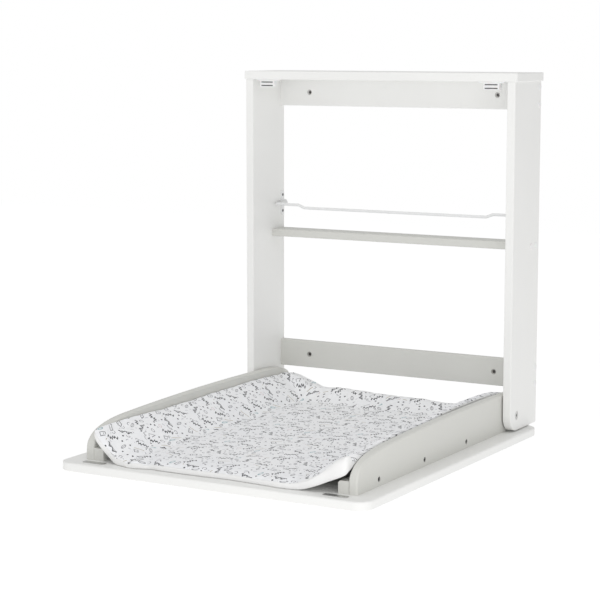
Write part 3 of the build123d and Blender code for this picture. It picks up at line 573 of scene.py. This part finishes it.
FINISHES = {
    # The last colour of each lacquer is bare fibreboard, darkened as painted shade for the holes and
    # countersinks.
    "white_lacquer": lacquer("white_lacquer", (0.87, 0.87, 0.855), 0.40, (0.19, 0.18, 0.165)),
    "grey_lacquer": lacquer("grey_lacquer", (0.68, 0.68, 0.645), 0.42, (0.06, 0.048, 0.038)),
    "white_coated_steel": powder_coat("white_coated_steel", (0.83, 0.835, 0.835)),
    "zinc_plated_steel": plated_steel("zinc_plated_steel", (0.60, 0.60, 0.59), 0.34, (1.0, 0.08, 1.0)),
    "dark_steel": plated_steel("dark_steel", (0.13, 0.13, 0.135), 0.38, (1.0, 1.0, 0.1)),
    "white_plastic": moulded_plastic("white_plastic", (0.86, 0.86, 0.855), 0.42),
    "ferrite_magnet": ferrite("ferrite_magnet"),
    "beech_dowel": beech("beech_dowel"),
    "nylon": moulded_plastic("nylon", (0.80, 0.79, 0.74), 0.48),
    "felt": felt("felt"),
    "mat_cover": printed_cover("mat_cover"),
}


def finish_cad_nodes():
    """Every CAD node takes its slot's finish, but the catches' pole plates take the dark steel finish."""
    for part in frame["record"]["subparts"]:
        node = frame["nodes"][part["node"]]
        oiled = part["node"] == "catch_pole_plates"
        node.data.materials.clear()
        node.data.materials.append(FINISHES["dark_steel" if oiled else part["material_slot"]])


# ---------------------------------------------------------------- mat: mesh


def spaced(low, high):
    """Places from low to high: close together near both ends, CELL apart between."""
    cells = int(round((high - low - 2 * RIM_STEPS[-1]) / CELL))
    middle = np.linspace(low + RIM_STEPS[-1], high - RIM_STEPS[-1], cells + 1)
    first = [low + step for step in RIM_STEPS[:-1]]
    last = [high - step for step in RIM_STEPS[-2::-1]]
    return np.concatenate([first, middle, last])


def corner_cut(x):
    """How far the front or rear edge curves back near a corner."""
    over = np.maximum(np.abs(x) - (SIDE_X - CORNER_RADIUS), 0.0)
    return CORNER_RADIUS - np.sqrt(np.maximum(CORNER_RADIUS**2 - over**2, 0.0))


def front_edge(x):
    wander = sum(back * np.exp(-(((x - place) / width) ** 2)) for place, back, width in FRONT_BENDS)
    stepped_back = eased(*FRONT_CORNER_X, np.abs(x))
    edge = FRONT_Y + wander * (1 - stepped_back) + (FRONT_CORNER_Y - FRONT_Y) * stepped_back
    return edge + corner_cut(x)


def underside(x, y):
    """Height of the mat's underside above the board: raised sides, the rise at the wall end, corners."""
    total = np.zeros_like(x)
    for side in (-1, 1):
        reach = np.maximum(side * x, 0.0)
        foot = along(SIDE_FEET[side], y)
        slope = np.clip((reach - foot) / (SIDE_X - foot), 0.0, 1.0)
        lift = along(SIDE_LIFTS[side], y)
        total = soft_max(total, lift * slope ** along(SIDE_HOLLOWS[side], y), SIDE_BLEND)
        swell = eased(*CORNER_SWELL_X[side], reach) * eased(*CORNER_SWELL_Y, y)
        total = soft_max(total, (lift - CORNER_DROP) * swell, CORNER_BLEND)
    rise = np.clip((y - REAR_FOOT_Y) / (REAR_CREST_Y - REAR_FOOT_Y), 0.0, 1.0)
    rear = (along(REAR_TOPS, x) - REAR_PADDING) * rise**REAR_HOLLOW
    total = soft_max(total, rear, REAR_BLEND)
    return total - total.min()


def wave(x, y, length_x, length_y, seed, height):
    return height * noise.noise(Vector((x / length_x, y / length_y, seed)))


def ripples(x, y):
    """Soft unevenness of the padding, and small puckers across the folds."""
    height = np.zeros_like(x)
    for i in np.ndindex(x.shape):
        px, py = float(x[i]), float(y[i])
        near_side = math.exp(-(((abs(px) - SIDE_FOLD_X) / SIDE_FOLD_WIDTH) ** 2))
        near_rear = REAR_FOLD_SHARE * math.exp(-(((py - REAR_FOOT_Y) / REAR_FOLD_WIDTH) ** 2))
        soft = wave(px, py, *BROAD_RIPPLES) + wave(px, py, *FINE_RIPPLES)
        height[i] = soft + wave(px, py, *PUCKERS) * (near_side + near_rear)
    return height


def filling(x, y):
    extra = np.zeros_like(x)
    for side in (-1, 1):
        reach = side * x
        taper = 1 - FILLING_TAPER * eased(*FILLING_TAPER_X, reach)
        corner = FRONT_CORNER_FILLING[side] * eased(*CORNER_FILLING_X, reach)
        extra += along(SIDE_FILLING[side], y) * eased(*SIDE_FILLING_X, reach) * taper
        extra += corner * eased(*CORNER_FILLING_Y, y)
    return extra


def creases(x, y):
    depth = np.zeros_like(x)
    for (x0, y0), (x1, y1), deep, wide in CREASES:
        dx, dy = x1 - x0, y1 - y0
        t = np.clip(((x - x0) * dx + (y - y0) * dy) / (dx * dx + dy * dy), 0.0, 1.0)
        away = np.hypot(x - x0 - t * dx, y - y0 - t * dy)
        depth += deep * np.exp(-((away / wide) ** 2))
    return depth


def rim(distance, radius):
    """1 well inside an edge, falling to 0 at it along a quarter circle."""
    t = np.clip(distance / radius, 0.0, 1.0)
    return np.sqrt(1 - (1 - t) ** 2)


def rim_length(distance, radius):
    """Length along the rounded cover, from its widest point to a place this far in from the edge."""
    t = np.clip(1 - distance / radius, 0.0, 1.0)
    return radius * np.arccos(t) + np.maximum(distance - radius, 0.0)


def padding(x, y):
    """Heights of the mat's underside and top, before the edges are rounded."""
    low = underside(x, y)
    slope_y, slope_x = np.gradient(low)
    slope_x = slope_x / np.gradient(x, axis=1)
    slope_y = slope_y / np.gradient(y, axis=0)
    steepness = np.sqrt(1 + np.minimum(slope_x**2 + slope_y**2, STEEPEST))
    thinned = 1 - SIDE_THINNING * eased(*SIDE_THINNING_X, np.abs(x))
    high = low + MAT_THICKNESS * steepness * thinned + filling(x, y) + ripples(x, y) - creases(x, y)
    high = np.maximum(high, low + LEAST_THICKNESS)
    under = ripples(x + UNDER_SHIFT_X, y) * UNDER_SHARE
    return np.maximum(low + under * eased(*UNDER_RAISED, low), REST_GAP), high


def printed_depth(x, y, from_front, from_rear, from_side):
    """How far in mm each point of the cover lies inside the print's outline. Below 0 it is plain."""
    front_band = FRONT_BAND + CORNER_BAND * eased(*CORNER_BAND_X, x) * eased(*CORNER_BAND_Y, y)
    front = rim_length(from_front, END_ROUNDING) - front_band
    rear = rim_length(from_rear, END_ROUNDING) - REAR_BAND
    side = rim_length(from_side, SIDE_ROUNDING) - SIDE_BAND
    return np.minimum(np.minimum(front, rear), side)


def run_along(axis, place, height):
    """Length along the cover in one direction of the grid, from its first points."""
    steps = [np.diff(line, axis=axis, prepend=np.take(line, [0], axis=axis)) for line in (place, height)]
    return np.cumsum(np.hypot(*steps), axis=axis)


def build_mat():
    """The mat's closed mesh: a grid over the top and one below, which share the points of the rim."""
    columns = spaced(-SIDE_X, SIDE_X)
    rows = spaced(0.0, REAR_Y - FRONT_Y) / (REAR_Y - FRONT_Y)
    x = np.repeat(columns[None, :], len(rows), axis=0)
    front, rear = front_edge(x), REAR_Y - corner_cut(x)
    y = front + rows[:, None] * (rear - front)
    from_front, from_rear, from_side = y - front, rear - y, SIDE_X - np.abs(x)

    low, high = padding(x, y)
    middle = low + (high - low) * RIM_MIDDLE
    end = rim(from_front, END_ROUNDING) * rim(from_rear, END_ROUNDING)
    flank = rim(from_side, SIDE_ROUNDING)
    under_end = rim(from_front, UNDER_END_ROUNDING) * rim(from_rear, UNDER_END_ROUNDING)
    under_end = under_end * rim(from_side, UNDER_SIDE_ROUNDING)
    top = middle + (high - middle) * end * flank
    bottom = middle - (middle - low) * under_end

    on_rim = np.zeros(x.shape, bool)
    on_rim[0, :] = on_rim[-1, :] = on_rim[:, 0] = on_rim[:, -1] = True
    top_index = np.arange(x.size).reshape(x.shape)
    under_index = top_index.copy()
    under_index[~on_rim] = x.size + np.arange((~on_rim).sum())
    points = np.concatenate([
        np.stack([x, y, top + BOARD_TOP_MM], -1).reshape(-1, 3),
        np.stack([x, y, bottom + BOARD_TOP_MM], -1)[~on_rim],
    ]) * MM
    near, far = slice(0, -1), slice(1, None)
    corners = [(near, near), (near, far), (far, far), (far, near)]
    upper = np.stack([top_index[c] for c in corners], -1).reshape(-1, 4)
    lower = np.stack([under_index[c] for c in reversed(corners)], -1).reshape(-1, 4)
    mesh = bpy.data.meshes.new("padded_mat")
    mesh.from_pydata(points.tolist(), [], np.concatenate([upper, lower]).tolist())
    mesh.validate()

    across = run_along(1, x, top)
    across -= across[:, across.shape[1] // 2][:, None]
    flat = np.stack([across, run_along(0, y, top)], -1)
    flat = np.concatenate([flat.reshape(-1, 2), flat[~on_rim]]) * MM
    loops = np.zeros(len(mesh.loops), int)
    mesh.loops.foreach_get("vertex_index", loops)
    mesh.uv_layers.new(name="cover").data.foreach_set("uv", flat[loops].ravel())

    printed = printed_depth(x, y, from_front, from_rear, from_side)
    plain = -1.0 - rim_length(np.minimum(from_front, from_rear), END_ROUNDING)
    edge = np.concatenate([printed.ravel(), plain[~on_rim]]).astype(np.float32)
    mesh.attributes.new("cover_edge", "FLOAT", "POINT").data.foreach_set("value", edge)

    mat = bpy.data.objects.new("padded_mat", mesh)
    bpy.context.scene.collection.objects.link(mat)
    still = np.concatenate([(end * flank).ravel() < HELD_BELOW, np.ones((~on_rim).sum(), bool)])
    held = mat.vertex_groups.new(name="held")
    held.add(np.flatnonzero(still).tolist(), 1.0, "REPLACE")
    return mat


# ---------------------------------------------------------------- mat: cloth simulation

PUFF_FRAMES = 20
PUFF_PRESSURE = 4.0
PUFF_CAP_MM = 6.0
PUFF_SPARE_CLOTH = 0.022  # share by which the cover is larger than its padding
BOARD_GAP_MM = 0.2
SIDE_SLACK_MM = 0.2
CATCH_ZONE_MM = 36.0  # width of the front corners, which pass the catches
FRONT_SLACK_MM, CORNER_SLACK_MM = 7.0, 0.8


def read_points(mesh):
    points = np.zeros(len(mesh.vertices) * 3)
    mesh.vertices.foreach_get("co", points)
    return points.reshape(-1, 3)


def bake_modifiers(obj):
    """Replaces the object's mesh with what its modifiers give."""
    graph = bpy.context.evaluated_depsgraph_get()
    shown = obj.evaluated_get(graph)
    mesh = bpy.data.meshes.new_from_object(shown, preserve_all_data_layers=True, depsgraph=graph)
    obj.modifiers.clear()
    obj.data = mesh


def puff_up(obj):
    """Lets the cover swell and wrinkle over its padding; the underside and the edges stay put."""
    start = read_points(obj.data)
    cloth = obj.modifiers.new("Cloth", "CLOTH")
    cloth.point_cache.frame_start, cloth.point_cache.frame_end = 1, PUFF_FRAMES
    settings = cloth.settings
    settings.quality = 6
    settings.mass = 0.25
    settings.tension_stiffness = settings.compression_stiffness = 18.0
    settings.shear_stiffness = 6.0
    settings.bending_stiffness = 0.6
    settings.shrink_min = -PUFF_SPARE_CLOTH
    settings.vertex_group_mass = "held"
    settings.use_pressure = True
    settings.uniform_pressure_force = PUFF_PRESSURE
    settings.effector_weights.gravity = 0.0
    cloth.collision_settings.use_collision = False
    scene = bpy.context.scene
    for number in range(1, PUFF_FRAMES + 1):
        scene.frame_set(number)
    bake_modifiers(obj)
    scene.frame_set(1)
    moved = read_points(obj.data) - start
    size = np.linalg.norm(moved, axis=1, keepdims=True)
    cap = PUFF_CAP_MM * MM
    moved *= cap / np.maximum(cap + size, 1e-9)
    obj.data.vertices.foreach_set("co", (start + moved).ravel())


def keep_clear(obj):
    """Holds the mat above the board, between the side rails and clear of the catches."""
    points = read_points(obj.data) / MM
    points[:, 2] = np.maximum(points[:, 2], BOARD_TOP_MM + BOARD_GAP_MM)
    points[:, 0] = np.clip(points[:, 0], -SIDE_X - SIDE_SLACK_MM, SIDE_X + SIDE_SLACK_MM)
    in_corner = np.abs(points[:, 0]) > MAT_HIGH.x - CATCH_ZONE_MM
    limit = np.where(in_corner, FRONT_CORNER_Y - CORNER_SLACK_MM, FRONT_Y - FRONT_SLACK_MM)
    points[:, 1] = np.maximum(points[:, 1], limit)
    obj.data.vertices.foreach_set("co", (points * MM).ravel())
    obj.data.update()


def make_mat():
    mat = build_mat()
    mat.data.materials.append(FINISHES["mat_cover"])
    puff_up(mat)
    mat.vertex_groups.clear()
    mat.modifiers.new("Smooth", "SUBSURF").levels = 1
    bake_modifiers(mat)
    keep_clear(mat)
    mat.data.polygons.foreach_set("use_smooth", [True] * len(mat.data.polygons))
    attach(mat, "board")
    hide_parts("changing_mat")


# ---------------------------------------------------------------- stage, light and camera

CAMERA_TARGET = Vector((-0.0589, -0.350, -0.1198))
CAMERA_AZIMUTH, CAMERA_ELEVATION = math.radians(30.014), math.radians(7.802)
CAMERA_DISTANCE = 3.8485
CAMERA_LENS = 112.39
FLOOR_DROP = 0.87  # a changing height above the floor
FLOOR_REACH = 12.0
WORLD_SHOWN, WORLD_LIGHT = 1.0, 0.61  # the background's strength as seen, and as light
# Softboxes: name, place, target, width and height, power in watts.
SOFTBOXES = (
    ("key", (0.9, -3.0, 0.0), (0, -0.3, -0.2), (1.6, 1.6), 8.4),
    ("overhead", (-0.1, -1.1, 2.3), (0, -0.4, -0.2), (2.4, 1.8), 16.0),
    ("low_right", (1.35, -1.5, -0.25), (0.1, -0.4, -0.32), (0.7, 0.35), 2.7),
)


def make_floor():
    low = CAD_BOX[0].z - FLOOR_DROP
    signs = ((-1, -1), (1, -1), (1, 1), (-1, 1))
    corners = [(x * FLOOR_REACH, y * FLOOR_REACH, low) for x, y in signs]
    mesh = bpy.data.meshes.new("floor")
    mesh.from_pydata(corners, [], [(0, 1, 2, 3)])
    floor = bpy.data.objects.new("floor", mesh)
    bpy.context.scene.collection.objects.link(floor)
    mesh.materials.append(floor_finish("floor"))


def make_world():
    world = bpy.data.worlds.new("studio")
    bpy.context.scene.world = world
    world.use_nodes = True
    nodes, links = world.node_tree.nodes, world.node_tree.links
    seen = nodes.new("ShaderNodeLightPath").outputs["Is Camera Ray"]
    strength = nodes.new("ShaderNodeMapRange")
    strength.inputs["To Min"].default_value = WORLD_LIGHT
    strength.inputs["To Max"].default_value = WORLD_SHOWN
    links.new(seen, strength.inputs["Value"])
    background = nodes["Background"]
    background.inputs["Color"].default_value = (1, 1, 1, 1)
    links.new(strength.outputs["Result"], background.inputs["Strength"])


def aim(obj, target):
    obj.rotation_euler = (Vector(target) - obj.location).to_track_quat("-Z", "Y").to_euler()


def make_softbox(name, place, target, size, power):
    light = bpy.data.lights.new(name, "AREA")
    light.shape = "RECTANGLE"
    light.size, light.size_y = size
    light.energy = power
    box = bpy.data.objects.new(name, light)
    box.location = place
    aim(box, target)
    box.visible_camera = False
    bpy.context.scene.collection.objects.link(box)


def make_camera():
    camera = bpy.data.objects.new("camera", bpy.data.cameras.new("camera"))
    camera.data.lens = CAMERA_LENS
    camera.data.sensor_width = 36.0
    sin_a, cos_a = math.sin(CAMERA_AZIMUTH), math.cos(CAMERA_AZIMUTH)
    level = math.cos(CAMERA_ELEVATION)
    back = Vector((sin_a * level, -cos_a * level, math.sin(CAMERA_ELEVATION)))
    camera.location = CAMERA_TARGET + back * CAMERA_DISTANCE
    aim(camera, CAMERA_TARGET)
    bpy.context.scene.collection.objects.link(camera)
    bpy.context.scene.camera = camera


finish_cad_nodes()
make_mat()
make_floor()
make_world()
for softbox in SOFTBOXES:
    make_softbox(*softbox)
make_camera()
bpy.context.scene.view_settings.view_transform = "Standard"
